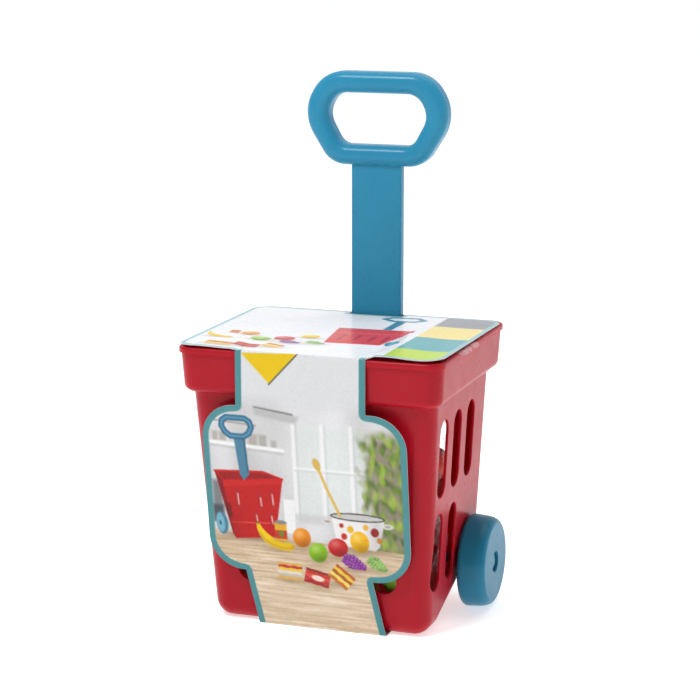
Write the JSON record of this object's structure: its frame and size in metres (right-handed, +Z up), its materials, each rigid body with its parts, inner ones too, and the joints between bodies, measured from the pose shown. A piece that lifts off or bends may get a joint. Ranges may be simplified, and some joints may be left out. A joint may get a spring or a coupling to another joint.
{
  "type": "toy shopping trolley",
  "caption": "Toy pull-along shopping trolley: slotted moulded basket on side wheels with a push-down loop handle, in a printed card sleeve, holding a bag of play food.",
  "frame": {"origin": "on the ground, under the middle of the whole object's box", "axes": "+Z up, the front (card panel) looks along -Y, the handle is at the back at +Y, +X is the right side seen from the front"},
  "size_m": [0.2606, 0.2082, 0.4736],
  "materials": {
    "basket_red": "satin moulded plastic",
    "handle_blue": "glossy moulded plastic",
    "wheel_blue": "satin moulded plastic",
    "pin_blue": "satin moulded plastic",
    "screw_steel": "satin",
    "printed_card": "gloss",
    "clear_film": "gloss",
    "orange_peel": "satin",
    "apple_green": "satin",
    "tomato_red": "gloss",
    "lemon_yellow": "satin",
    "banana_yellow": "satin",
    "grape_purple": "satin",
    "grape_green": "satin",
    "tin_metal": "satin",
    "bread": "matte",
    "snack_red": "gloss",
    "wafer_wrap": "gloss"
  },
  "bodies": {
    "basket": {"basket": "basket_red", "handle_guide_cover": "basket_red", "guide_screws": "screw_steel", "left_axle_pin": "pin_blue", "right_axle_pin": "pin_blue", "food_bag": "clear_film", "orange": "orange_peel", "green_apple": "apple_green", "tomato": "tomato_red", "lemon": "lemon_yellow", "banana": "banana_yellow", "purple_grapes": "grape_purple", "green_grapes": "grape_green", "tin_can": "tin_metal", "sandwich": "bread", "snack_box": "snack_red", "wafer_pack": "wafer_wrap"},
    "handle": {"handle": "handle_blue"},
    "left_wheel": {"left_wheel": "wheel_blue"},
    "right_wheel": {"right_wheel": "wheel_blue"},
    "card_sleeve": {"card_sleeve": "printed_card"}
  },
  "joints": [
    {"name": "handle_slide", "type": "slide", "parent": "basket", "child": "handle", "axis": [0, 0, 1], "range_m": [-0.135, 0]},
    {"name": "left_wheel_spin", "type": "hinge", "parent": "basket", "child": "left_wheel", "pos_m": [-0.119, 0.0381, 0.0417], "axis": [1, 0, 0], "continuous": true},
    {"name": "right_wheel_spin", "type": "hinge", "parent": "basket", "child": "right_wheel", "pos_m": [0.119, 0.0381, 0.0417], "axis": [1, 0, 0], "continuous": true},
    {"name": "sleeve_slide", "type": "slide", "parent": "basket", "child": "card_sleeve", "axis": [0, -1, 0], "range_m": [0, 0.215]}
  ]
}
